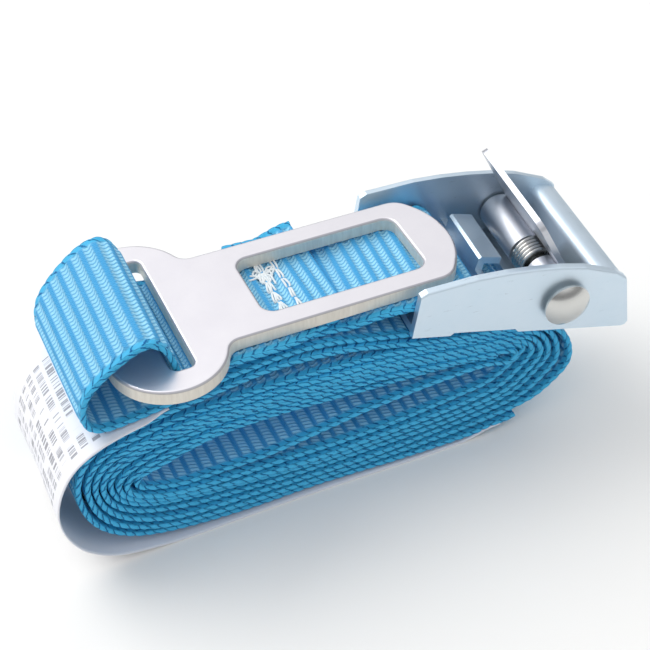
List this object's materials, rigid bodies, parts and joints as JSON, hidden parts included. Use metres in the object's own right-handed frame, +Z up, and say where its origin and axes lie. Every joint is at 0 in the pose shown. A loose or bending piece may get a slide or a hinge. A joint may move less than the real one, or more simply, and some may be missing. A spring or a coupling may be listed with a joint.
{
  "type": "cam buckle tie-down strap",
  "caption": "Cam-buckle tie-down packed as sold: flat-rolled ribbed webbing strap, short sewn strap with a slotted end plate, and a spring-loaded pressed cam buckle.",
  "frame": {"origin": "middle of the bottom of the whole object's box", "axes": "+X along the roll towards the buckle's rear, +Y across the webbing away from the rivet's large head, +Z up from the surface it lies on"},
  "size_m": [0.1028, 0.0371, 0.0438],
  "materials": {
    "webbing": "ribbed polyester weave",
    "label_cloth": "smooth woven, slightly creased",
    "thread": "twisted polyester",
    "plate_zinc": "satin zinc",
    "buckle_zinc": "bright zinc",
    "cam_zinc": "bright zinc",
    "rivet_steel": "polished",
    "spring_steel": "bright wire"
  },
  "bodies": {
    "strap_bundle": {"long_strap_roll": "webbing", "short_strap_plate_half": "webbing", "short_strap_buckle_half": "webbing", "label": "label_cloth", "seam_thread_inner": "thread", "seam_thread_middle": "thread", "seam_thread_outer": "thread"},
    "end_plate": {"end_plate": "plate_zinc"},
    "buckle": {"buckle_frame": "buckle_zinc", "axle_rivet": "rivet_steel", "cam_spring": "spring_steel"},
    "cam_lever": {"cam_lever": "cam_zinc"}
  },
  "joints": [
    {"name": "end_plate_swing", "type": "hinge", "parent": "strap_bundle", "child": "end_plate", "pos_m": [-0.03532, 0.00056, 0.03552], "axis": [0, -1, 0], "range_deg": [0, 100]},
    {"name": "buckle_lift", "type": "hinge", "parent": "strap_bundle", "child": "buckle", "pos_m": [0.00927, -0.01374, 0.02897], "axis": [-0.0776, -0.997, 0], "range_deg": [0, 30]},
    {"name": "cam_lever_press", "type": "hinge", "parent": "buckle", "child": "cam_lever", "pos_m": [0.03739, -0.00159, 0.02897], "axis": [-0.0776, -0.997, 0], "range_deg": [0, 34], "stiffness_Nm_per_rad": 0.05, "springref_deg": -34.38, "deforming": ["cam_spring"]}
  ]
}
